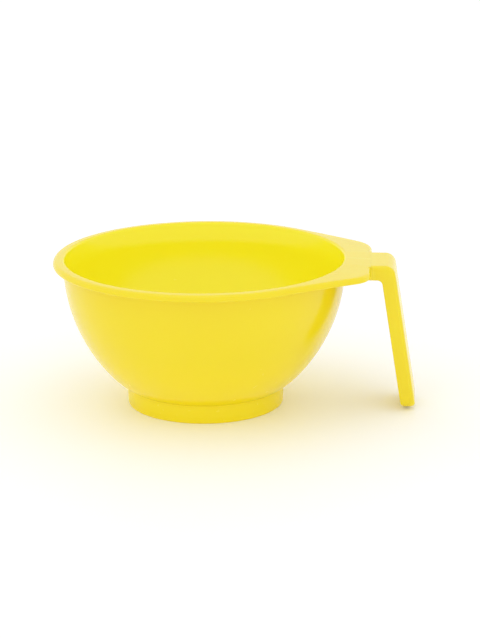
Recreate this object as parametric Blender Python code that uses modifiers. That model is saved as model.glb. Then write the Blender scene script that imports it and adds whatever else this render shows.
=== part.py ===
"""Hair colour bowl: a round plastic mixing bowl with a rim lug, a strap handle and a foot ring.

Metres, +Z up. The bowl stands on z = 0 and the handle points towards +X. Radii and reaches are
measured from the bowl's own axis. The parts hang on an empty on that axis, which is moved along -X
at the end, so that the origin is on the table under the middle of the whole object.
"""

from math import atan2, cos, pi, radians, sin, sqrt, tan

import bmesh
import bpy
from mathutils import Vector
from mathutils.geometry import interpolate_bezier

MM = 0.001
GAP = 0.3 * MM  # between neighbouring solids

# Bowl
RIM_RADIUS = 70 * MM
RIM_HEIGHT = 70 * MM  # at the lip's crest, from where the rim falls outwards
RIM_FALL = radians(3)
RIM_THICKNESS = 2.8 * MM
RIM_EDGE_ROUND = 2.0 * MM
RIM_EDGE_UNDER_ROUND = 0.6 * MM
RIM_FILLET = 2.2 * MM  # from the underside of the rim into the outside wall
LIP_RADIUS = 64.7 * MM
LIP_ROUND = 1.3 * MM  # from the inside wall over onto the rim
LIP_CREST_RADIUS = LIP_RADIUS + LIP_ROUND
LIP_FLARE = radians(13)  # the inside wall opens out to the lip at this angle from upright
LIP_FLARE_DEPTH = 8.8 * MM
WALL_TOP_RADIUS = 65.3 * MM
WALL_BASE_RADIUS = 37.0 * MM
WALL_THICKNESS = 2.2 * MM
WALL_TOP_DRAFT = radians(1)  # the wall's lean from upright at the rim
WALL_BASE_ANGLE = radians(30)  # the wall's rise from level at the foot
WALL_TOP_PULL = 29 * MM  # how far each end's direction carries into the curve
WALL_BASE_PULL = 11 * MM
FLOOR_UNDERSIDE = 8.8 * MM
FLOOR_THICKNESS = 2.2 * MM
FLOOR_BLEND = 7 * MM  # from the flat of the floor to where the wall's line would meet it

# Lug: where the rim swells out to meet the handle
LUG_REACH = 77.2 * MM
LUG_SPREAD = radians(54)  # its straight sides leave the rim at this angle either side of +X
LUG_CORNER_RADIUS = 14 * MM

# Foot ring, and the short spigot under the bowl that it is pressed onto
FOOT_TOP_RADIUS = 36.8 * MM
FOOT_BASE_RADIUS = 36.4 * MM
FOOT_BORE_RADIUS = 33.4 * MM
FOOT_LEDGE_HEIGHT = 1.8 * MM
FOOT_EDGE_ROUND = 0.6 * MM
SPIGOT_RADIUS = 35.0 * MM
SPIGOT_WALL = 1.6 * MM
SPIGOT_TIP = FOOT_LEDGE_HEIGHT + GAP

# Handle: a channel, open towards the bowl
HANDLE_WIDTH = 27.5 * MM
HANDLE_THICKNESS = 6.7 * MM  # of the leg, measured level
HANDLE_DRAFT = radians(9)  # the leg's lean from upright
HANDLE_TOP = RIM_HEIGHT - (LUG_REACH - LIP_CREST_RADIUS) * tan(RIM_FALL)  # level with the lug's end
HANDLE_TOP_REACH = 87.9 * MM  # where its top and its outer face would meet
HANDLE_ARM_DEPTH = 6.7 * MM
HANDLE_OUTER_ROUND = 5.0 * MM
HANDLE_INNER_ROUND = 2.5 * MM
HANDLE_WALL = 2.2 * MM
HANDLE_EDGE_ROUND = 1.0 * MM
TIP_CLEARANCE = 1.1 * MM  # above the table
TIP_SOLID_HEIGHT = 7 * MM  # the channel stops here
TIP_INNER_ROUND = 3.2 * MM
TIP_OUTER_ROUND = 2.2 * MM
TIP_CORNER_RADIUS = 5.5 * MM  # seen from the handle's end
TONGUE_START = 68.2 * MM  # the tongue runs from here, under the lug, to the handle's arm

# Facets
TURN_STEPS = 96
WALL_SEGMENTS = 9
ROUND_SEGMENTS = 3
QUARTER_SEGMENTS = 5

YELLOW = (0.93, 0.76, 0.035, 1)


# Outlines: lists of 2D points

def arc(centre, radius, start, end, segments):
    """Points on a circle from one angle to another, both ends included."""
    steps = [start + (end - start) * i / segments for i in range(segments + 1)]
    return [Vector((centre[0] + radius * cos(a), centre[1] + radius * sin(a))) for a in steps]


def rounded(corners):
    """A closed outline through corners (x, y, radius), each rounded where its radius isn't 0."""
    points = []
    for i, (x, y, radius) in enumerate(corners):
        corner = Vector((x, y))
        if radius == 0:
            points.append(corner)
            continue
        back = (Vector(corners[i - 1][:2]) - corner).normalized()
        ahead = (Vector(corners[(i + 1) % len(corners)][:2]) - corner).normalized()
        half_angle = back.angle(ahead) / 2
        centre = corner + (back + ahead).normalized() * radius / sin(half_angle)
        first = corner + back * radius / tan(half_angle) - centre
        turn = first.angle_signed(corner + ahead * radius / tan(half_angle) - centre)
        start = atan2(first.y, first.x)
        segments = max(2, round(QUARTER_SEGMENTS * abs(turn) / (pi / 2)))
        points += arc(centre, radius, start, start - turn, segments)
    return points


def curve_between(start, start_pull, end_pull, end, segments):
    """Points of a smooth curve between two points, pulled towards a third and a fourth."""
    flat = interpolate_bezier(start, start_pull, end_pull, end, segments + 1)
    return [Vector(p[:2]) for p in flat]


# Bowl

def rim_top(radius):
    """The height of the rim's sloping top, at a radius outside the lip's crest."""
    return RIM_HEIGHT - (radius - LIP_CREST_RADIUS) * tan(RIM_FALL)


def rim_underside(radius):
    return rim_top(radius) - RIM_THICKNESS


def rim_fillet():
    """The hollow round under the rim, from its underside to the top of the outside wall."""
    level = rim_underside(WALL_TOP_RADIUS + RIM_FILLET * (1 + sin(RIM_FALL)))
    centre = (WALL_TOP_RADIUS + RIM_FILLET, level - RIM_FILLET * cos(RIM_FALL))
    return arc(centre, RIM_FILLET, pi / 2 - RIM_FALL, pi, ROUND_SEGMENTS)


def outer_wall():
    """The outside of the wall, from under the rim down to the foot."""
    top = rim_fillet()[-1]
    base = Vector((WALL_BASE_RADIUS, FLOOR_UNDERSIDE))
    top_pull = top - WALL_TOP_PULL * Vector((sin(WALL_TOP_DRAFT), cos(WALL_TOP_DRAFT)))
    base_pull = base + WALL_BASE_PULL * Vector((cos(WALL_BASE_ANGLE), sin(WALL_BASE_ANGLE)))
    return curve_between(top, top_pull, base_pull, base, WALL_SEGMENTS)


def lip():
    """The round from the inside wall over onto the rim's sloping top."""
    centre = (LIP_CREST_RADIUS, RIM_HEIGHT - LIP_ROUND)
    return arc(centre, LIP_ROUND, pi - LIP_FLARE, pi / 2 - RIM_FALL, ROUND_SEGMENTS)


def inner_wall():
    """The inside of the wall, from near the floor up to where it flares out to the lip."""
    outside = outer_wall()
    flare_end = lip()[0]
    flare_height = RIM_HEIGHT - LIP_FLARE_DEPTH
    flare_start = Vector((flare_end.x - (flare_end.y - flare_height) * tan(LIP_FLARE), flare_height))
    lowest = FLOOR_UNDERSIDE + 3 * FLOOR_THICKNESS
    inside = []
    for above, point, below in zip(outside, outside[1:], outside[2:]):
        along = (above - below).normalized()
        moved_in = point + WALL_THICKNESS * Vector((-along.y, along.x))
        if lowest < moved_in.y < flare_height - WALL_THICKNESS:
            inside.append(moved_in)
    return [*reversed(inside), flare_start]


def rim_edge():
    """The rim's outer edge, from the end of its top round to its underside."""
    top_radius = RIM_RADIUS - RIM_EDGE_ROUND
    top_level = rim_top(top_radius + RIM_EDGE_ROUND * sin(RIM_FALL)) - RIM_EDGE_ROUND * cos(RIM_FALL)
    over = arc((top_radius, top_level), RIM_EDGE_ROUND, pi / 2 - RIM_FALL, 0, ROUND_SEGMENTS)
    under_radius = RIM_RADIUS - RIM_EDGE_UNDER_ROUND
    under_level = rim_underside(under_radius) + RIM_EDGE_UNDER_ROUND
    under = arc((under_radius, under_level), RIM_EDGE_UNDER_ROUND, 0, -pi / 2 - RIM_FALL, ROUND_SEGMENTS)
    return [*over, *under]


def bowl_profile():
    """Half the bowl's section: from the middle of the floor, up the inside, over the rim and down outside."""
    floor_top = FLOOR_UNDERSIDE + FLOOR_THICKNESS
    inside = inner_wall()
    rise = inside[1] - inside[0]
    corner = inside[0] - rise * (inside[0].y - floor_top) / rise.y
    floor_edge = corner - Vector((FLOOR_BLEND, 0))
    floor_curve = curve_between(floor_edge, (floor_edge + corner) / 2, (corner + inside[0]) / 2, inside[0],
                                QUARTER_SEGMENTS)
    spigot = [
        Vector((SPIGOT_RADIUS, FLOOR_UNDERSIDE)),
        Vector((SPIGOT_RADIUS, SPIGOT_TIP)),
        Vector((SPIGOT_RADIUS - SPIGOT_WALL, SPIGOT_TIP)),
        Vector((SPIGOT_RADIUS - SPIGOT_WALL, FLOOR_UNDERSIDE)),
    ]
    centre_top = Vector((0, floor_top))
    centre_bottom = Vector((0, FLOOR_UNDERSIDE))
    return [centre_top, *floor_curve[:-1], *inside, *lip(), *rim_edge(), *rim_fillet(),
            *outer_wall()[1:], *spigot, centre_bottom]


def plan_radius(angle):
    """How far the rim's edge is from the bowl's axis: the rim's circle, or the lug towards +X."""
    angle = abs(angle)
    if angle >= LUG_SPREAD:
        return RIM_RADIUS
    corner_x = LUG_REACH - LUG_CORNER_RADIUS
    corner_y = (RIM_RADIUS - LUG_CORNER_RADIUS - corner_x * cos(LUG_SPREAD)) / sin(LUG_SPREAD)
    side_start = atan2(corner_y + LUG_CORNER_RADIUS * sin(LUG_SPREAD),
                       corner_x + LUG_CORNER_RADIUS * cos(LUG_SPREAD))
    if angle >= side_start:
        return RIM_RADIUS / cos(LUG_SPREAD - angle)
    if LUG_REACH * tan(angle) <= corner_y:
        return LUG_REACH / cos(angle)
    along = corner_x * cos(angle) + corner_y * sin(angle)
    return along + sqrt(LUG_CORNER_RADIUS**2 - corner_x**2 - corner_y**2 + along**2)


def make_bowl(name, collection):
    """The turned bowl, with the outer edge of its rim drawn out, down its slope, to the lug's outline."""
    bowl = turned(name, bowl_profile(), collection)
    edge_start = rim_edge()[0].x
    for vertex in bowl.data.vertices:
        radius = sqrt(vertex.co.x**2 + vertex.co.y**2)
        if radius > edge_start - GAP:
            outwards = plan_radius(atan2(vertex.co.y, vertex.co.x)) - RIM_RADIUS
            vertex.co.x *= 1 + outwards / radius
            vertex.co.y *= 1 + outwards / radius
            vertex.co.z -= outwards * tan(RIM_FALL)
    return bowl


# Foot ring

def foot_profile():
    """The ring's section as a closed loop, clockwise from the top of its outer face."""
    seat_radius = SPIGOT_RADIUS + GAP
    top = FLOOR_UNDERSIDE - GAP
    outer_round = arc((FOOT_BASE_RADIUS - FOOT_EDGE_ROUND, FOOT_EDGE_ROUND), FOOT_EDGE_ROUND, 0, -pi / 2,
                      ROUND_SEGMENTS)
    return [
        Vector((FOOT_TOP_RADIUS, top)),
        *outer_round,
        Vector((FOOT_BORE_RADIUS, 0)),
        Vector((FOOT_BORE_RADIUS, FOOT_LEDGE_HEIGHT)),
        Vector((seat_radius, FOOT_LEDGE_HEIGHT)),
        Vector((seat_radius, top)),
    ]


# Handle

def outer_face_x(z):
    return HANDLE_TOP_REACH + (HANDLE_TOP - z) * tan(HANDLE_DRAFT)


def inner_face_x(z):
    return outer_face_x(z) - HANDLE_THICKNESS


def tongue_top(x):
    """The height of the tongue's top, clear of the lug's underside across the handle's whole width."""
    return rim_underside(sqrt(x**2 + (HANDLE_WIDTH / 2)**2)) - GAP


def handle_side_outline():
    """The handle seen from the side, in x and z: tongue, arm, leg and tip."""
    arm_bottom = HANDLE_TOP - HANDLE_ARM_DEPTH
    arm_start = LUG_REACH + GAP
    return rounded([
        (TONGUE_START, arm_bottom, 0),
        (TONGUE_START, tongue_top(TONGUE_START), 0),
        (arm_start, tongue_top(arm_start), 0),
        (arm_start, HANDLE_TOP, 0),
        (HANDLE_TOP_REACH, HANDLE_TOP, HANDLE_OUTER_ROUND),
        (outer_face_x(TIP_CLEARANCE), TIP_CLEARANCE, TIP_OUTER_ROUND),
        (inner_face_x(TIP_CLEARANCE), TIP_CLEARANCE, TIP_INNER_ROUND),
        (inner_face_x(arm_bottom), arm_bottom, HANDLE_INNER_ROUND),
    ])


def handle_channel_outline():
    """What is cut out of the handle's middle, in x and z: everything inside its top and outer walls."""
    wall_level = HANDLE_WALL / cos(HANDLE_DRAFT)
    arm_roof = HANDLE_TOP - HANDLE_WALL
    start_x = TONGUE_START + HANDLE_WALL
    step_x = LUG_REACH + GAP + HANDLE_WALL
    well_clear = 3 * MM  # past the open side
    return rounded([
        (start_x, tongue_top(start_x) - HANDLE_WALL, 0),
        (step_x, tongue_top(step_x) - HANDLE_WALL, 0),
        (step_x, arm_roof, 0),
        (outer_face_x(arm_roof) - wall_level, arm_roof, HANDLE_OUTER_ROUND - HANDLE_WALL),
        (outer_face_x(TIP_SOLID_HEIGHT) - wall_level, TIP_SOLID_HEIGHT, 0),
        (inner_face_x(TIP_SOLID_HEIGHT) - well_clear, TIP_SOLID_HEIGHT, 0),
        (start_x, HANDLE_TOP - HANDLE_ARM_DEPTH - well_clear, 0),
    ])


def handle_front_outline():
    """The handle seen from its end, in y and z: its width, with the tip's lower corners rounded."""
    half = HANDLE_WIDTH / 2
    above = RIM_HEIGHT + HANDLE_WIDTH
    return rounded([
        (-half, above, 0),
        (half, above, 0),
        (half, TIP_CLEARANCE, TIP_CORNER_RADIUS),
        (-half, TIP_CLEARANCE, TIP_CORNER_RADIUS),
    ])


def make_handle(name, parts, cutters):
    side_on = (pi / 2, 0, 0)
    end_on = (pi / 2, 0, pi / 2)
    blank_width = HANDLE_WIDTH * 1.5
    handle = extruded(name, handle_side_outline(), blank_width, side_on, (0, 0, 0), parts)
    front_middle = (TONGUE_START + HANDLE_TOP_REACH) / 2
    front = extruded("cutter_handle_width", handle_front_outline(), HANDLE_TOP_REACH, end_on,
                     (front_middle, 0, 0), cutters)
    channel_width = HANDLE_WIDTH - 2 * HANDLE_WALL
    channel = extruded("cutter_handle_channel", handle_channel_outline(), channel_width, side_on,
                       (0, 0, 0), cutters)
    cut(handle, front, "INTERSECT")
    cut(handle, channel, "DIFFERENCE")
    bevel = handle.modifiers.new("edges", "BEVEL")
    bevel.width = HANDLE_EDGE_ROUND
    bevel.segments = 2
    bevel.limit_method = "ANGLE"
    bevel.angle_limit = radians(50)
    return handle


# Modelling tools

def evaluated_mesh(obj):
    """The object's mesh as its modifiers leave it."""
    depsgraph = bpy.context.evaluated_depsgraph_get()
    return bpy.data.meshes.new_from_object(obj.evaluated_get(depsgraph))


def turned(name, profile, collection, closed=False):
    """A solid turned about Z from a profile of (radius, height) points."""
    mesh = bpy.data.meshes.new(name)
    pairs = [(i, i + 1) for i in range(len(profile) - 1)]
    if closed:
        pairs.append((len(profile) - 1, 0))
    mesh.from_pydata([(r, 0, z) for r, z in profile], pairs, [])
    obj = bpy.data.objects.new(name, mesh)
    collection.objects.link(obj)
    screw = obj.modifiers.new("turn", "SCREW")
    screw.axis = "Z"
    screw.angle = 2 * pi
    screw.steps = TURN_STEPS
    screw.render_steps = TURN_STEPS
    screw.use_merge_vertices = True
    screw.merge_threshold = 0.01 * MM
    obj.data = evaluated_mesh(obj)
    obj.modifiers.clear()
    bpy.data.meshes.remove(mesh)
    return obj


def extruded(name, outline, width, rotation, location, collection):
    """A plate of a flat outline: the outline's x and y, turned by rotation, with its width across them."""
    curve = bpy.data.curves.new(name, "CURVE")
    curve.dimensions = "2D"
    curve.fill_mode = "BOTH"
    curve.extrude = width / 2
    spline = curve.splines.new("POLY")
    spline.points.add(len(outline) - 1)
    spline.use_cyclic_u = True
    for point, (x, y) in zip(spline.points, outline):
        point.co = (x, y, 0, 1)
    drawn = bpy.data.objects.new(name, curve)
    drawn.rotation_euler = rotation
    drawn.location = location
    collection.objects.link(drawn)
    bpy.context.view_layer.update()
    mesh = evaluated_mesh(drawn)
    welded = bmesh.new()
    welded.from_mesh(mesh)
    bmesh.ops.remove_doubles(welded, verts=welded.verts, dist=0.01 * MM)
    bmesh.ops.recalc_face_normals(welded, faces=welded.faces)
    welded.to_mesh(mesh)
    welded.free()
    plate = bpy.data.objects.new(name, mesh)
    plate.matrix_world = drawn.matrix_world
    bpy.data.objects.remove(drawn)
    bpy.data.curves.remove(curve)
    collection.objects.link(plate)
    plate.name = name
    return plate


def cut(obj, cutter, operation):
    cutter.hide_render = True
    cutter.display_type = "WIRE"
    boolean = obj.modifiers.new(cutter.name, "BOOLEAN")
    boolean.object = cutter
    boolean.operation = operation
    boolean.solver = "EXACT"


def plastic(name, colour, roughness):
    material = bpy.data.materials.new(name)
    material.use_nodes = True
    shader = material.node_tree.nodes["Principled BSDF"]
    shader.inputs["Base Color"].default_value = colour
    shader.inputs["Roughness"].default_value = roughness
    shader.inputs["Metallic"].default_value = 0
    return material


def collection_named(name):
    collection = bpy.data.collections.new(name)
    bpy.context.scene.collection.children.link(collection)
    return collection


for old in list(bpy.data.objects):
    bpy.data.objects.remove(old)

parts = collection_named("hair_colour_bowl")
cutters = collection_named("cutters")

bowl = make_bowl("bowl_body", parts)
foot = turned("foot_ring", foot_profile(), parts, closed=True)
handle = make_handle("handle", parts, cutters)

bowl_axis = bpy.data.objects.new("bowl_axis", None)
for piece in [*parts.objects, *cutters.objects]:
    piece.parent = bowl_axis
parts.objects.link(bowl_axis)
handle_reach = max(x for x, z in handle_side_outline())
bowl_axis.location.x = (RIM_RADIUS - handle_reach) / 2

for piece, roughness in ((bowl, 0.25), (foot, 0.3), (handle, 0.25)):
    piece.data.materials.clear()
    piece.data.materials.append(plastic(piece.name + "_plastic", YELLOW, roughness))
    piece.data.shade_smooth()
    piece.data.set_sharp_from_angle(angle=radians(35))
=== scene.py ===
"""The looks of the hair colour bowl: fine meshes, yellow plastic, a pale floor, soft light and the camera.

Metres, +Z up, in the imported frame. Each piece stands for its CAD node and keeps its sizes. What the
frame's boxes don't say, such as wall thicknesses and edge rounds, is a named value here.
"""

from math import atan2, cos, pi, radians, sin, sqrt, tan

import bmesh
import bpy
from mathutils import Matrix, Vector
from mathutils.geometry import interpolate_bezier


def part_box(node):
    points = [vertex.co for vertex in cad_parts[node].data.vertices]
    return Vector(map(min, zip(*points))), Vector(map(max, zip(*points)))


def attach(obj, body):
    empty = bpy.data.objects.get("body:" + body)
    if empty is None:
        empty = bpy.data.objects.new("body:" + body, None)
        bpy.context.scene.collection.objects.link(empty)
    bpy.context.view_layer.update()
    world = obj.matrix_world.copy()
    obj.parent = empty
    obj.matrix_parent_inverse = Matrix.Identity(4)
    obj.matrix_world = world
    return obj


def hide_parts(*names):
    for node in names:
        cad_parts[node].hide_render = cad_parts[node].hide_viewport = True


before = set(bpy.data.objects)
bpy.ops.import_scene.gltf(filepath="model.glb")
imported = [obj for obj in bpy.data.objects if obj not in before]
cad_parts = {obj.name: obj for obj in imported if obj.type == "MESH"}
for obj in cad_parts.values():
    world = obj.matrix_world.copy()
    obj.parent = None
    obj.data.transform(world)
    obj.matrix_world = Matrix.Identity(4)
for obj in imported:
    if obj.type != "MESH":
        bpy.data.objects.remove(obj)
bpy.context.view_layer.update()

MM = 0.001

# From the frame
bowl_low, bowl_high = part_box("bowl_body")
foot_low, foot_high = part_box("foot_ring")
handle_low, handle_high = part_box("handle")
RIM_RADIUS = (bowl_high.y - bowl_low.y) / 2
RIM_HEIGHT = bowl_high.z
BOWL_AXIS = Vector((bowl_low.x + RIM_RADIUS, 0, 0))
LUG_REACH = bowl_high.x - BOWL_AXIS.x
SPIGOT_TIP = bowl_low.z
FOOT_TOP_RADIUS = (foot_high.y - foot_low.y) / 2
HANDLE_WIDTH = handle_high.y - handle_low.y
HANDLE_TOP = handle_high.z
TONGUE_START = handle_low.x - BOWL_AXIS.x
TIP_BOTTOM = handle_low.z

# Bowl
RIM_FALL = radians(3)  # the slope of the rim, down from the lip's crest
RIM_THICKNESS = 2.8 * MM
RIM_EDGE_ROUND = 2.0 * MM
RIM_EDGE_UNDER_ROUND = 0.6 * MM
RIM_FILLET = 2.2 * MM
PARTING_LINE = 0.03 * MM  # how far the mould's parting line stands out of the rim's edge
LIP_RADIUS = 64.7 * MM
LIP_ROUND = 1.3 * MM
LIP_CREST_RADIUS = LIP_RADIUS + LIP_ROUND
LIP_FLARE = radians(13)
LIP_FLARE_DEPTH = 8.8 * MM
WALL_TOP_RADIUS = 65.3 * MM
WALL_BASE_RADIUS = 37.0 * MM
WALL_BASE_ROUND = 0.5 * MM
WALL_THICKNESS = 2.2 * MM
WALL_TOP_DRAFT = radians(1)
WALL_BASE_ANGLE = radians(30)
WALL_TOP_PULL = 29 * MM
WALL_BASE_PULL = 11 * MM
FLOOR_UNDERSIDE = 8.8 * MM
FLOOR_THICKNESS = 2.2 * MM
FLOOR_BLEND = 7 * MM
LUG_SPREAD = radians(54)  # how far from +X, on each side, the lug leaves the rim's circle
LUG_CORNER_RADIUS = 14 * MM
SPIGOT_RADIUS = 35.0 * MM
SPIGOT_WALL = 1.6 * MM
SPIGOT_CHAMFER = 0.3 * MM
SPIGOT_ROOT_CHAMFER = 0.4 * MM
INSERT_LINE_RADIUS = 25 * MM  # the edge of the mould's insert, under the floor
INSERT_LINE_HALF_WIDTH = 0.15 * MM
INSERT_LINE_HEIGHT = 0.12 * MM
GATE_DIMPLE_RADIUS = 4.0 * MM  # where the plastic was fed in, under the middle of the floor
GATE_DIMPLE_EDGE = 0.5 * MM
GATE_DIMPLE_DEPTH = 0.6 * MM
GATE_STUB_RADIUS = 0.9 * MM
GATE_STUB_LENGTH = 0.1 * MM

# Foot ring
FOOT_BASE_RADIUS = 36.4 * MM
FOOT_BORE_RADIUS = 33.4 * MM
FOOT_LEDGE_HEIGHT = 1.8 * MM
FOOT_EDGE_ROUND = 0.6 * MM
FOOT_TOP_ROUND = 0.3 * MM
SEAT_GAP = 0.3 * MM

# Handle
HANDLE_THICKNESS = 6.7 * MM
HANDLE_DRAFT = radians(9)
HANDLE_TOP_REACH = 87.9 * MM  # where the outer face would meet the level of the top
HANDLE_ARM_DEPTH = 6.7 * MM
HANDLE_OUTER_ROUND = 5.0 * MM
HANDLE_INNER_ROUND = 2.5 * MM
HANDLE_WALL = 2.2 * MM
HANDLE_EDGE_ROUND = 1.8 * MM
HANDLE_LIP_ROUND = 0.5 * MM
CHANNEL_ROOT_ROUND = 0.8 * MM
CHANNEL_DRAFT = 0.3 * MM  # how much the channel narrows down to its root
CHANNEL_END_OUTSIDE = 0.4 * MM  # how far before and after the wall at the tongue's end its channel opens
CHANNEL_END_INSIDE = 0.5 * MM
STEP_SLOPE = 0.3 * MM  # half the length over which the web thins past the arm's step
TIP_SOLID_HEIGHT = 7 * MM
TIP_INNER_ROUND = 3.2 * MM
TIP_OUTER_ROUND = 2.2 * MM
TIP_CORNER_RADIUS = 5.5 * MM
JOIN_GAP = 0.005 * MM  # between the lug's end and the handle, too fine to see
JOIN_MARGIN = 1 * MM  # how far the lug's end stays square beside the handle
FOOT_JOIN_GAP = 0.03 * MM

# Fineness
TURN_STEPS = 480
WALL_SEGMENTS = 40
ROUND_SEGMENTS = 8
BEND_SEGMENTS = 16
LEG_SEGMENTS = 24
TIP_SEGMENTS = 16  # of the solid tip, the first three of which close the channel
EDGE_SEGMENTS = 6
SMALL_SEGMENTS = 4
FLOOR_RINGS = [radius * MM for radius in (0, 1, 8, 16, 24)]
SAME_PLACE = 0.005 * MM  # closer than this counts as the same radius
SHARP_ANGLE = radians(40)

# Colours of the plastic, and the light painted onto it
YELLOW = (0.90, 0.73, 0.010, 1)
DEEP_YELLOW = (0.88, 0.70, 0.008, 1)
# painted highlight: a paler yellow put on convex edges, where light catches them
EDGE_HIGHLIGHT_YELLOW = (0.93, 0.80, 0.04, 1)
# painted light: a brighter, purer yellow for the inside of the bowl
PAINTED_INSIDE_LIGHT_YELLOW = (0.96, 0.87, 0.017, 1)
LOW_PAINTED_LIGHT_YELLOW = (0.97, 0.78, 0.008, 1)  # painted light: a brighter yellow towards the foot
LOW_START = 36 * MM
LOW_END = 9 * MM


# Outlines

def arc(centre, radius, start, end, segments=ROUND_SEGMENTS):
    """Points on a circle from one angle to another, both ends included."""
    steps = [start + (end - start) * i / segments for i in range(segments + 1)]
    return [Vector((centre[0] + radius * cos(a), centre[1] + radius * sin(a))) for a in steps]


def corner_arc(before, corner, after, radius, segments=ROUND_SEGMENTS):
    """Points that round a corner between its neighbours, from the first side to the second."""
    corner = Vector(corner)
    back = (Vector(before) - corner).normalized()
    ahead = (Vector(after) - corner).normalized()
    half_angle = back.angle(ahead) / 2
    centre = corner + (back + ahead).normalized() * radius / sin(half_angle)
    first = corner + back * radius / tan(half_angle) - centre
    last = corner + ahead * radius / tan(half_angle) - centre
    start = atan2(first.y, first.x)
    return arc(centre, radius, start, start - first.angle_signed(last), segments)


def curve_between(start, start_pull, end_pull, end, segments):
    """Points of a smooth curve between two points, pulled towards a third and a fourth."""
    flat = interpolate_bezier(start, start_pull, end_pull, end, segments + 1)
    return [Vector(p[:2]) for p in flat]


# Bowl

def rim_top(radius):
    """The height of the rim's sloping top, at a radius outside the lip's crest."""
    return RIM_HEIGHT - (radius - LIP_CREST_RADIUS) * tan(RIM_FALL)


def rim_underside(radius):
    return rim_top(radius) - RIM_THICKNESS


def rim_fillet():
    """The hollow round under the rim, from its underside to the top of the outside wall."""
    level = rim_underside(WALL_TOP_RADIUS + RIM_FILLET * (1 + sin(RIM_FALL)))
    centre = (WALL_TOP_RADIUS + RIM_FILLET, level - RIM_FILLET * cos(RIM_FALL))
    return arc(centre, RIM_FILLET, pi / 2 - RIM_FALL, pi)


def outer_wall():
    """The outside of the wall, from under the rim down to the foot."""
    top = rim_fillet()[-1]
    base = Vector((WALL_BASE_RADIUS, FLOOR_UNDERSIDE))
    top_pull = top - WALL_TOP_PULL * Vector((sin(WALL_TOP_DRAFT), cos(WALL_TOP_DRAFT)))
    base_pull = base + WALL_BASE_PULL * Vector((cos(WALL_BASE_ANGLE), sin(WALL_BASE_ANGLE)))
    return curve_between(top, top_pull, base_pull, base, WALL_SEGMENTS)


def lip():
    """The round from the inside wall over onto the rim's sloping top."""
    centre = (LIP_CREST_RADIUS, RIM_HEIGHT - LIP_ROUND)
    return arc(centre, LIP_ROUND, pi - LIP_FLARE, pi / 2 - RIM_FALL)


def inner_wall():
    """The inside of the wall, from near the floor up to where it has flared out to the lip."""
    outside = outer_wall()
    flare_end = lip()[0]
    flare_height = RIM_HEIGHT - LIP_FLARE_DEPTH
    flare_start = Vector((flare_end.x - (flare_end.y - flare_height) * tan(LIP_FLARE), flare_height))
    lowest = FLOOR_UNDERSIDE + 3 * FLOOR_THICKNESS
    inside = []
    for above, point, below in zip(outside, outside[1:], outside[2:]):
        along = (above - below).normalized()
        moved_in = point + WALL_THICKNESS * Vector((-along.y, along.x))
        if lowest < moved_in.y < flare_height - WALL_THICKNESS:
            inside.insert(0, moved_in)
    halfway = (flare_start + flare_end) / 2
    flare = curve_between(inside[-1], 2 * inside[-1] - inside[-2], flare_start, halfway, ROUND_SEGMENTS)
    return [*inside, *flare[1:]]


def rim_edge():
    """The rim's outer edge, from the end of its top round to its underside, with the parting line on it."""
    top_radius = RIM_RADIUS - RIM_EDGE_ROUND
    top_level = rim_top(top_radius + RIM_EDGE_ROUND * sin(RIM_FALL)) - RIM_EDGE_ROUND * cos(RIM_FALL)
    over = arc((top_radius, top_level), RIM_EDGE_ROUND, pi / 2 - RIM_FALL, 0)
    under_radius = RIM_RADIUS - RIM_EDGE_UNDER_ROUND
    under_level = rim_underside(under_radius) + RIM_EDGE_UNDER_ROUND
    under = arc((under_radius, under_level), RIM_EDGE_UNDER_ROUND, 0, -pi / 2 - RIM_FALL)
    parting = Vector((RIM_RADIUS + PARTING_LINE, (top_level + under_level) / 2))
    return [*over, parting, *under]


def bowl_underside():
    """Under the floor, from the spigot in to the middle, with the marks that the mould leaves."""
    tip = SPIGOT_TIP
    bore = SPIGOT_RADIUS - SPIGOT_WALL
    floor = FLOOR_UNDERSIDE
    depth = GATE_DIMPLE_DEPTH
    spigot = [
        (SPIGOT_RADIUS, floor),
        (SPIGOT_RADIUS, tip + SPIGOT_CHAMFER),
        (SPIGOT_RADIUS - SPIGOT_CHAMFER, tip),
        (bore + SPIGOT_CHAMFER, tip),
        (bore, tip + SPIGOT_CHAMFER),
        (bore, floor - SPIGOT_ROOT_CHAMFER),
        (bore - SPIGOT_ROOT_CHAMFER, floor),
    ]
    insert_line = [
        (INSERT_LINE_RADIUS + INSERT_LINE_HALF_WIDTH, floor),
        (INSERT_LINE_RADIUS, floor - INSERT_LINE_HEIGHT),
        (INSERT_LINE_RADIUS - INSERT_LINE_HALF_WIDTH, floor),
    ]
    gate = [
        (GATE_DIMPLE_RADIUS + GATE_DIMPLE_EDGE, floor),
        (GATE_DIMPLE_RADIUS, floor + depth / 3),
        (GATE_DIMPLE_RADIUS - depth, floor + depth),
        (GATE_STUB_RADIUS + depth / 3, floor + depth),
        (GATE_STUB_RADIUS, floor + depth * 2 / 3),
        (GATE_STUB_RADIUS * 0.8, floor - GATE_STUB_LENGTH),
        (0, floor - GATE_STUB_LENGTH * 1.5),
    ]
    return [Vector(p) for p in (*spigot, *insert_line, *gate)]


def bowl_profile():
    """Half the bowl's section, from the middle of the floor, up inside, over the rim and down outside."""
    floor_top = FLOOR_UNDERSIDE + FLOOR_THICKNESS
    inside = inner_wall()
    rise = inside[1] - inside[0]
    corner = inside[0] - rise * (inside[0].y - floor_top) / rise.y
    floor_edge = corner - Vector((FLOOR_BLEND, 0))
    floor_curve = curve_between(floor_edge, (floor_edge + corner) / 2, (corner + inside[0]) / 2, inside[0],
                                2 * ROUND_SEGMENTS)
    wall = outer_wall()
    base_round = corner_arc(wall[-2], wall[-1], (SPIGOT_RADIUS, FLOOR_UNDERSIDE), WALL_BASE_ROUND)
    return [
        *(Vector((radius, floor_top)) for radius in FLOOR_RINGS),
        *floor_curve[:-1],
        *inside,
        *lip(),
        *rim_edge(),
        *rim_fillet(),
        *wall[1:-1],
        *base_round,
        *bowl_underside(),
    ]


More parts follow.
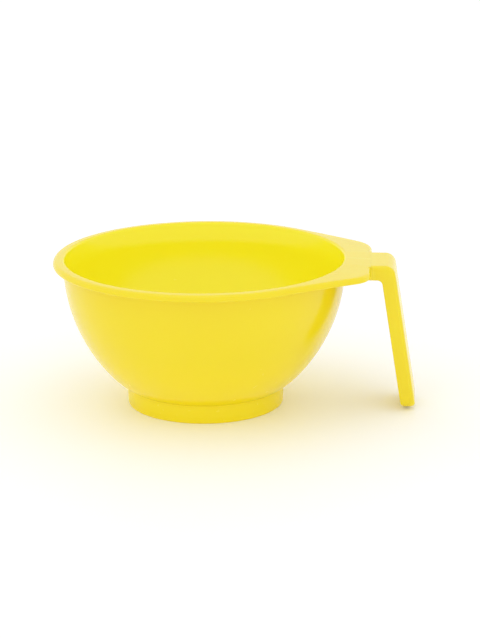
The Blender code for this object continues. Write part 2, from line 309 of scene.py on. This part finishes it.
def plan_radius(angle):
    """How far the rim's edge is from the bowl's axis: the rim's circle, or the lug towards +X."""
    angle = abs(angle)
    if angle >= LUG_SPREAD:
        return RIM_RADIUS
    corner_x = LUG_REACH - LUG_CORNER_RADIUS
    corner_y = (RIM_RADIUS - LUG_CORNER_RADIUS - corner_x * cos(LUG_SPREAD)) / sin(LUG_SPREAD)
    side_start = atan2(corner_y + LUG_CORNER_RADIUS * sin(LUG_SPREAD),
                       corner_x + LUG_CORNER_RADIUS * cos(LUG_SPREAD))
    if angle >= side_start:
        return RIM_RADIUS / cos(LUG_SPREAD - angle)
    if LUG_REACH * tan(angle) <= corner_y:
        return LUG_REACH / cos(angle)
    along = corner_x * cos(angle) + corner_y * sin(angle)
    return along + sqrt(LUG_CORNER_RADIUS**2 - corner_x**2 - corner_y**2 + along**2)


def make_bowl():
    """The turned bowl, its rim's edge drawn out, down its slope, to the lug, and square at the handle."""
    bowl = turned("bowl", bowl_profile())
    edge_start = rim_edge()[0].x
    joined_half = HANDLE_WIDTH / 2 + JOIN_MARGIN
    for vertex in bowl.data.vertices:
        radius = sqrt(vertex.co.x**2 + vertex.co.y**2)
        if radius > edge_start - SAME_PLACE:
            outwards = plan_radius(atan2(vertex.co.y, vertex.co.x)) - RIM_RADIUS
            vertex.co.x *= 1 + outwards / radius
            vertex.co.y *= 1 + outwards / radius
            vertex.co.z -= outwards * tan(RIM_FALL)
            if vertex.co.x > LUG_REACH - 2 * RIM_EDGE_ROUND and abs(vertex.co.y) < joined_half:
                vertex.co.x = LUG_REACH
                vertex.co.z = min(vertex.co.z, HANDLE_TOP)
    return bowl


# Foot ring

def foot_profile():
    """The ring's section as a closed loop, from the top of its outer face down and round."""
    seat_radius = SPIGOT_RADIUS + SEAT_GAP
    top = FLOOR_UNDERSIDE - FOOT_JOIN_GAP
    top_edge = corner_arc((seat_radius, top), (FOOT_TOP_RADIUS, top), (FOOT_BASE_RADIUS, 0), FOOT_TOP_ROUND)
    base_edge = corner_arc((FOOT_TOP_RADIUS, top), (FOOT_BASE_RADIUS, 0), (FOOT_BORE_RADIUS, 0),
                           FOOT_EDGE_ROUND)
    bore_edge = corner_arc((FOOT_BASE_RADIUS, 0), (FOOT_BORE_RADIUS, 0), (FOOT_BORE_RADIUS, top),
                           FOOT_TOP_ROUND)
    inside = [
        (FOOT_BORE_RADIUS, FOOT_LEDGE_HEIGHT),
        (seat_radius, FOOT_LEDGE_HEIGHT),
        (seat_radius, top),
    ]
    return [*top_edge, *base_edge, *bore_edge, *(Vector(p) for p in inside)]


# Handle

def outer_face_x(z):
    return HANDLE_TOP_REACH + (HANDLE_TOP - z) * tan(HANDLE_DRAFT)


def inner_face_x(z):
    return outer_face_x(z) - HANDLE_THICKNESS


def tongue_top(x):
    """The height of the tongue's top, clear of the lug's underside across the handle's whole width."""
    return rim_underside(sqrt(x**2 + (HANDLE_WIDTH / 2)**2)) - SEAT_GAP


def tongue_stations(arm_start, arm_bottom):
    """The tongue under the lug: solid at its end, then opening out into the channel."""
    wall_x = TONGUE_START + HANDLE_WALL
    places = (
        (TONGUE_START, 0),
        (wall_x - CHANNEL_END_OUTSIDE, 0),
        (wall_x, 0.4),
        (wall_x + CHANNEL_END_INSIDE, 1),
        (arm_start, 1),
    )
    return [((x, tongue_top(x)), (x, arm_bottom), HANDLE_WALL, channel) for x, channel in places]


def arm_root_stations(arm_start, arm_bottom):
    """The step up from the tongue to the level of the lug's end, with a thick web across it."""
    step_web = HANDLE_TOP - tongue_top(arm_start) + HANDLE_WALL
    root_x = arm_start + HANDLE_WALL
    places = (
        (arm_start, step_web),
        (root_x - STEP_SLOPE, step_web),
        (root_x + STEP_SLOPE, HANDLE_WALL),
    )
    return [((x, HANDLE_TOP), (x, arm_bottom), web, 1) for x, web in places]


def leg_stations(outer_start, inner_start, outer_end, inner_end):
    """The straight leg: a channel, which closes in three steps where the solid tip begins."""
    solid_share = (TIP_SOLID_HEIGHT - outer_end.y) / (outer_start.y - outer_end.y)
    channel_share = 1 - solid_share
    places = [(channel_share * i / LEG_SEGMENTS, 1) for i in range(1, LEG_SEGMENTS + 1)]
    for step, channel in enumerate((0.8, 0.4, 0), 1):
        places.append((channel_share + solid_share * step / TIP_SEGMENTS, channel))
    stations = []
    for share, channel in places:
        outer = outer_start.lerp(outer_end, share)
        inner = inner_start.lerp(inner_end, share)
        stations.append((outer, inner, HANDLE_WALL, channel))
    return stations


def handle_stations():
    """The handle's sections from tongue to tip: (outer point, inner point, web, channel depth as a share).

    Points are x and z. The web is how thick the wall behind the channel is.
    """
    arm_start = LUG_REACH + JOIN_GAP
    arm_bottom = HANDLE_TOP - HANDLE_ARM_DEPTH
    outer_corner = (HANDLE_TOP_REACH, HANDLE_TOP)
    inner_corner = (inner_face_x(arm_bottom), arm_bottom)
    tip_outer = (outer_face_x(TIP_BOTTOM), TIP_BOTTOM)
    tip_inner = (inner_face_x(TIP_BOTTOM), TIP_BOTTOM)
    outer_bend = corner_arc((arm_start, HANDLE_TOP), outer_corner, tip_outer, HANDLE_OUTER_ROUND,
                            BEND_SEGMENTS)
    inner_bend = corner_arc((arm_start, arm_bottom), inner_corner, tip_inner, HANDLE_INNER_ROUND,
                            BEND_SEGMENTS)
    outer_tip = corner_arc(outer_corner, tip_outer, tip_inner, TIP_OUTER_ROUND)
    inner_tip = corner_arc(inner_corner, tip_inner, tip_outer, TIP_INNER_ROUND)
    return [
        *tongue_stations(arm_start, arm_bottom),
        *arm_root_stations(arm_start, arm_bottom),
        *((outer, inner, HANDLE_WALL, 1) for outer, inner in zip(outer_bend, inner_bend)),
        *leg_stations(outer_bend[-1], inner_bend[-1], outer_tip[0], inner_tip[0]),
        *((outer, inner, HANDLE_WALL, 0) for outer, inner in zip(outer_tip, inner_tip)),
    ]


def half_width(z):
    """Half the handle's width at a height: full, and less round the tip's lower corners."""
    rise = min(max(z - TIP_BOTTOM, 0), TIP_CORNER_RADIUS)
    inset = TIP_CORNER_RADIUS - sqrt(TIP_CORNER_RADIUS**2 - (TIP_CORNER_RADIUS - rise)**2)
    return HANDLE_WIDTH / 2 - inset


def half_section(depth, web, channel):
    """One side of a channel section: (how far in from the outer face, how far in from the side, or out)."""
    edge = HANDLE_EDGE_ROUND
    lip = HANDLE_LIP_ROUND
    root = CHANNEL_ROOT_ROUND
    wall = HANDLE_WALL
    outer_edge = arc((edge, edge), edge, pi, 3 * pi / 2, EDGE_SEGMENTS)
    lip_outside = arc((depth - lip, lip), lip, -pi / 2, 0, SMALL_SEGMENTS)
    lip_inside = arc((depth - lip, wall - lip), lip, 0, pi / 2, SMALL_SEGMENTS)
    root_edge = arc((web + root, wall + CHANNEL_DRAFT + root), root, 3 * pi / 2, pi, SMALL_SEGMENTS)
    channel_points = [Vector((depth - channel * (depth - p.x), p.y)) for p in (*lip_inside[1:], *root_edge)]
    return [*outer_edge, *lip_outside, lip_inside[0], *channel_points]


def section_ring(outer, inner, web, channel):
    """All the points of one section, in 3D: the outer face, one side, the channel and the other side.

    The outer face and the channel's root are divided at shares of their half width.
    """
    face_shares = (0.4, 0.8)
    root_shares = (0.7, 0.35, 0)
    outer = Vector(outer)
    inner = Vector(inner)
    depth = (inner - outer).length
    inward = (inner - outer) / depth
    side = []
    for u, inset in half_section(depth, web, channel):
        point = outer + inward * u
        side.append((point, half_width(point.y) - inset))
    ring = [(outer, 0)]
    ring += [(outer, side[0][1] * share) for share in face_shares]
    ring += side
    root_point, root_width = side[-1]
    ring += [(root_point, root_width * share) for share in root_shares]
    other = [(point, -y) for point, y in reversed(ring[1:-1])]
    return [BOWL_AXIS + Vector((point.x, y, point.y)) for point, y in ring + other]


def make_handle():
    rings = [section_ring(*station) for station in handle_stations()]
    return lofted("handle_strap", rings)


# Mesh tools

def closed_piece(name, mesh_data):
    """An object of a closed mesh with its faces pointing out, shaded smooth with crisp corners kept."""
    bmesh.ops.recalc_face_normals(mesh_data, faces=mesh_data.faces)
    mesh = bpy.data.meshes.new(name)
    mesh_data.to_mesh(mesh)
    mesh_data.free()
    mesh.shade_smooth()
    mesh.set_sharp_from_angle(angle=SHARP_ANGLE)
    piece = bpy.data.objects.new(name, mesh)
    bpy.context.scene.collection.objects.link(piece)
    weighted = piece.modifiers.new("flat faces stay flat", "WEIGHTED_NORMAL")
    weighted.keep_sharp = True
    return piece


def bridge(mesh_data, first, second):
    """Quads between two rings of vertices, or triangles to a ring that is one vertex."""
    count = max(len(first), len(second))
    for i in range(count):
        j = (i + 1) % count
        if len(first) == 1:
            mesh_data.faces.new((first[0], second[j], second[i]))
        elif len(second) == 1:
            mesh_data.faces.new((first[i], first[j], second[0]))
        else:
            mesh_data.faces.new((first[i], first[j], second[j], second[i]))


def lofted(name, rings):
    """A solid through rings of points, closed flat at both ends."""
    solid = bmesh.new()
    made = [[solid.verts.new(point) for point in ring] for ring in rings]
    for first, second in zip(made, made[1:]):
        bridge(solid, first, second)
    solid.faces.new(made[0])
    solid.faces.new(made[-1])
    return closed_piece(name, solid)


def turned(name, profile, closed=False):
    """A solid turned about the bowl's axis from a profile of (radius, height) points."""
    solid = bmesh.new()
    rings = []
    for radius, z in profile:
        angles = [2 * pi * i / TURN_STEPS for i in range(TURN_STEPS)] if radius > 0 else [0]
        rings.append([solid.verts.new((radius * cos(a), radius * sin(a), z)) for a in angles])
    pairs = zip(rings, [*rings[1:], rings[0]]) if closed else zip(rings, rings[1:])
    for first, second in pairs:
        bridge(solid, first, second)
    piece = closed_piece(name, solid)
    piece.location = BOWL_AXIS
    return piece


# Materials

def node(tree, kind, inputs=None, **settings):
    """A shader node with its settings, and its inputs as values or as other nodes' outputs."""
    made = tree.nodes.new(kind)
    for key, value in settings.items():
        setattr(made, key, value)
    for key, value in (inputs or {}).items():
        if isinstance(value, bpy.types.NodeSocket):
            tree.links.new(value, made.inputs[key])
        else:
            made.inputs[key].default_value = value
    return made


def noise(tree, place, scale, detail):
    """Soft noise from 0 to 1."""
    made = node(tree, "ShaderNodeTexNoise", {"Vector": place, "Scale": scale, "Detail": detail})
    return made.outputs["Fac"]


def ranged(tree, value, start, end, high=1):
    """A value as a share of the way from start to end, held between 0 and 1, times high."""
    made = node(tree, "ShaderNodeMapRange", {"Value": value, "From Min": start, "From Max": end,
                                             "To Min": 0, "To Max": high})
    return made.outputs[0]


def mixed(tree, share, first, second):
    """A colour part of the way from the first to the second."""
    made = node(tree, "ShaderNodeMix", {"Factor": share, "A": first, "B": second}, data_type="RGBA")
    return made.outputs["Result"]


def plus_share(tree, value, share, base):
    """A base value with a share of another value added."""
    made = node(tree, "ShaderNodeMath", {0: value, 1: share, 2: base}, operation="MULTIPLY_ADD")
    return made.outputs[0]


def bumped(tree, height, strength, distance, under=None):
    """A normal bent by a height, on top of the relief under it, if there is any."""
    made = node(tree, "ShaderNodeBump", {"Height": height, "Strength": strength, "Distance": distance})
    if under:
        tree.links.new(under, made.inputs["Normal"])
    return made.outputs[0]


def facing(tree, place, point):
    """How squarely the surface faces a point, from -1 to 1."""
    towards = node(tree, "ShaderNodeVectorMath", {0: point, 1: place}, operation="SUBTRACT")
    direction = node(tree, "ShaderNodeVectorMath", {0: towards.outputs[0]}, operation="NORMALIZE")
    normal = node(tree, "ShaderNodeNewGeometry").outputs["Normal"]
    product = node(tree, "ShaderNodeVectorMath", {0: direction.outputs[0], 1: normal},
                   operation="DOT_PRODUCT")
    return product.outputs["Value"]


def colour_and_painted_light(tree, place, clouds, height, low_down_colour, mouth):
    """The plastic's colour: cloudy, with painted light low down (a deeper yellow low on the handle),
    painted light on the faces inside the mouth, and painted highlights at the edges.
    """
    colour = mixed(tree, ranged(tree, clouds, start=0.35, end=0.7, high=0.5), YELLOW, DEEP_YELLOW)
    # towards the bottom the colour moves to the low-down colour: painted light, a brighter yellow, on the
    # bowl and foot; a deeper yellow on the handle
    colour = mixed(tree, ranged(tree, height, LOW_START, LOW_END), colour, low_down_colour)
    if mouth:
        # painted light: faces turned towards the mouth, the bowl's inside, get a brighter, purer yellow
        inside = ranged(tree, facing(tree, place, mouth), start=0.4, end=0.8)
        colour = mixed(tree, inside, colour, PAINTED_INSIDE_LIGHT_YELLOW)
    # painted highlight: convex edges, found by pointiness, are made paler
    pointiness = node(tree, "ShaderNodeNewGeometry").outputs["Pointiness"]
    painted_edge_highlight = ranged(tree, pointiness, start=0.505, end=0.6, high=0.5)
    return mixed(tree, painted_edge_highlight, colour, EDGE_HIGHLIGHT_YELLOW)


def scuff_marks(tree, place):
    """A few faint scuffs, drawn out across the piece."""
    drawn_out = node(tree, "ShaderNodeMapping", {"Vector": place, "Scale": (60, 900, 340),
                                                 "Rotation": (0.4, 0.2, 0.7)}).outputs[0]
    return ranged(tree, noise(tree, drawn_out, scale=1, detail=2), start=0.66, end=0.78)


def dullness(tree, clouds, scuffs, height, roughness, worn_height):
    """The plastic's roughness: cloudy, more on scuffs, and most below the height where it is worn."""
    scuffed = plus_share(tree, scuffs, share=0.10, base=roughness)
    cloudy = plus_share(tree, clouds, share=0.06, base=scuffed)
    if not worn_height:
        return cloudy
    rubbed = ranged(tree, height, start=worn_height, end=0)
    return plus_share(tree, rubbed, share=0.25, base=cloudy)


def relief(tree, place, scuffs):
    """The surface's fine relief: slow waves, the mould's grain and the scuffs."""
    wavy = bumped(tree, noise(tree, place, scale=130, detail=1), strength=0.10, distance=0.4 * MM)
    grain = noise(tree, place, scale=2600, detail=2)
    grainy = bumped(tree, grain, strength=0.06, distance=0.05 * MM, under=wavy)
    return bumped(tree, scuffs, strength=0.08, distance=0.02 * MM, under=grainy)


def plastic(name, roughness, worn_height, low_down_colour, mouth=None):
    """Glossy yellow polypropylene: cloudy pigment, painted highlights on the edges, painted light low down,
    fine grain, a few faint scuffs.

    Below worn_height, where the piece rubs on a table, it is duller. Faces turned towards the mouth, if
    there is one, are the inside of the bowl, painted a brighter, purer yellow as painted light.
    """
    material = bpy.data.materials.new(name)
    material.use_nodes = True
    tree = material.node_tree
    shader = tree.nodes["Principled BSDF"]
    place = node(tree, "ShaderNodeTexCoord").outputs["Object"]
    height = node(tree, "ShaderNodeSeparateXYZ", {"Vector": place}).outputs["Z"]
    clouds = noise(tree, place, scale=28, detail=3)
    scuffs = scuff_marks(tree, place)
    colour = colour_and_painted_light(tree, place, clouds, height, low_down_colour, mouth)
    dull = dullness(tree, clouds, scuffs, height, roughness, worn_height)
    tree.links.new(colour, shader.inputs["Base Color"])
    tree.links.new(dull, shader.inputs["Roughness"])
    tree.links.new(relief(tree, place, scuffs), shader.inputs["Normal"])
    shader.inputs["IOR"].default_value = 1.46
    shader.inputs["Subsurface Weight"].default_value = 0.12
    shader.inputs["Subsurface Radius"].default_value = (1.0, 0.7, 0.1)
    shader.inputs["Subsurface Scale"].default_value = 1.5 * MM
    return material


def floor_paint():
    """A matt white board with the faintest mottling, lit a little from beneath."""
    material = bpy.data.materials.new("floor_white")
    material.use_nodes = True
    tree = material.node_tree
    shader = tree.nodes["Principled BSDF"]
    place = node(tree, "ShaderNodeTexCoord").outputs["Object"]
    mottle = noise(tree, place, scale=6, detail=3)
    paint = mixed(tree, mottle, (0.97, 0.97, 0.97, 1), (0.99, 0.99, 0.99, 1))
    tree.links.new(paint, shader.inputs["Base Color"])
    shader.inputs["Roughness"].default_value = 0.6
    shader.inputs["Emission Color"].default_value = (1, 1, 1, 1)
    shader.inputs["Emission Strength"].default_value = 0.05
    return material


# Studio

def make_floor():
    bpy.ops.mesh.primitive_plane_add(size=12, location=(0, 0, 0))
    floor = bpy.context.object
    floor.name = "floor"
    floor.data.materials.append(floor_paint())


def softbox(name, place, aim, size, power):
    light = bpy.data.lights.new(name, "AREA")
    light.shape = "DISK"
    light.size = size
    light.energy = power
    lamp = bpy.data.objects.new(name, light)
    lamp.location = place
    lamp.rotation_euler = (Vector(aim) - Vector(place)).to_track_quat("-Z", "Y").to_euler()
    bpy.context.scene.collection.objects.link(lamp)


def make_lights():
    middle = (0, 0, RIM_HEIGHT / 2)
    softbox("overhead", place=(-0.1, -0.25, 1.3), aim=middle, size=0.9, power=0.8)
    world = bpy.data.worlds.new("white_room")
    world.use_nodes = True
    sky = world.node_tree.nodes["Background"]
    sky.inputs["Color"].default_value = (1, 1, 1, 1)
    sky.inputs["Strength"].default_value = 1.0
    bpy.context.scene.world = world


def make_camera():
    """The camera stands in front of the bowl, a little to the handle's side, and looks slightly down."""
    turn = radians(4.2)
    elevation = radians(16.25)
    roll = radians(-0.305)
    distance = 1.0
    aim = BOWL_AXIS + Vector((16.39 * MM, 0, 39.6 * MM))
    back = Vector((sin(turn) * cos(elevation), -cos(turn) * cos(elevation), sin(elevation)))
    data = bpy.data.cameras.new("camera")
    data.lens = 120.85
    data.sensor_width = 36
    camera = bpy.data.objects.new("camera", data)
    tilt = Matrix.Rotation(roll, 3, back)
    camera.rotation_euler = (tilt @ (-back).to_track_quat("-Z", "Y").to_matrix()).to_euler()
    camera.location = aim + distance * back
    bpy.context.scene.collection.objects.link(camera)
    bpy.context.scene.camera = camera


make_floor()
make_lights()
make_camera()
bpy.context.scene.view_settings.view_transform = "Standard"

# the foot and bowl get painted light low down; the handle turns a deeper yellow towards the bottom
foot_plastic = plastic("foot_plastic", roughness=0.20, worn_height=1.2 * MM, low_down_colour=LOW_PAINTED_LIGHT_YELLOW)
bowl_plastic = plastic("bowl_plastic", roughness=0.16, worn_height=0, low_down_colour=LOW_PAINTED_LIGHT_YELLOW,
                       mouth=(0, 0, RIM_HEIGHT))
handle_plastic = plastic("handle_plastic", roughness=0.18, worn_height=1.5 * MM, low_down_colour=DEEP_YELLOW)
pieces = (
    (turned("foot", foot_profile(), closed=True), "foot_ring", "foot_plastic", foot_plastic),
    (make_bowl(), "bowl_body", "bowl_plastic", bowl_plastic),
    (make_handle(), "handle", "handle_plastic", handle_plastic),
)
for piece, cad_node, slot, material in pieces:
    piece.data.materials.append(material)
    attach(piece, "root")
    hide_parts(cad_node)
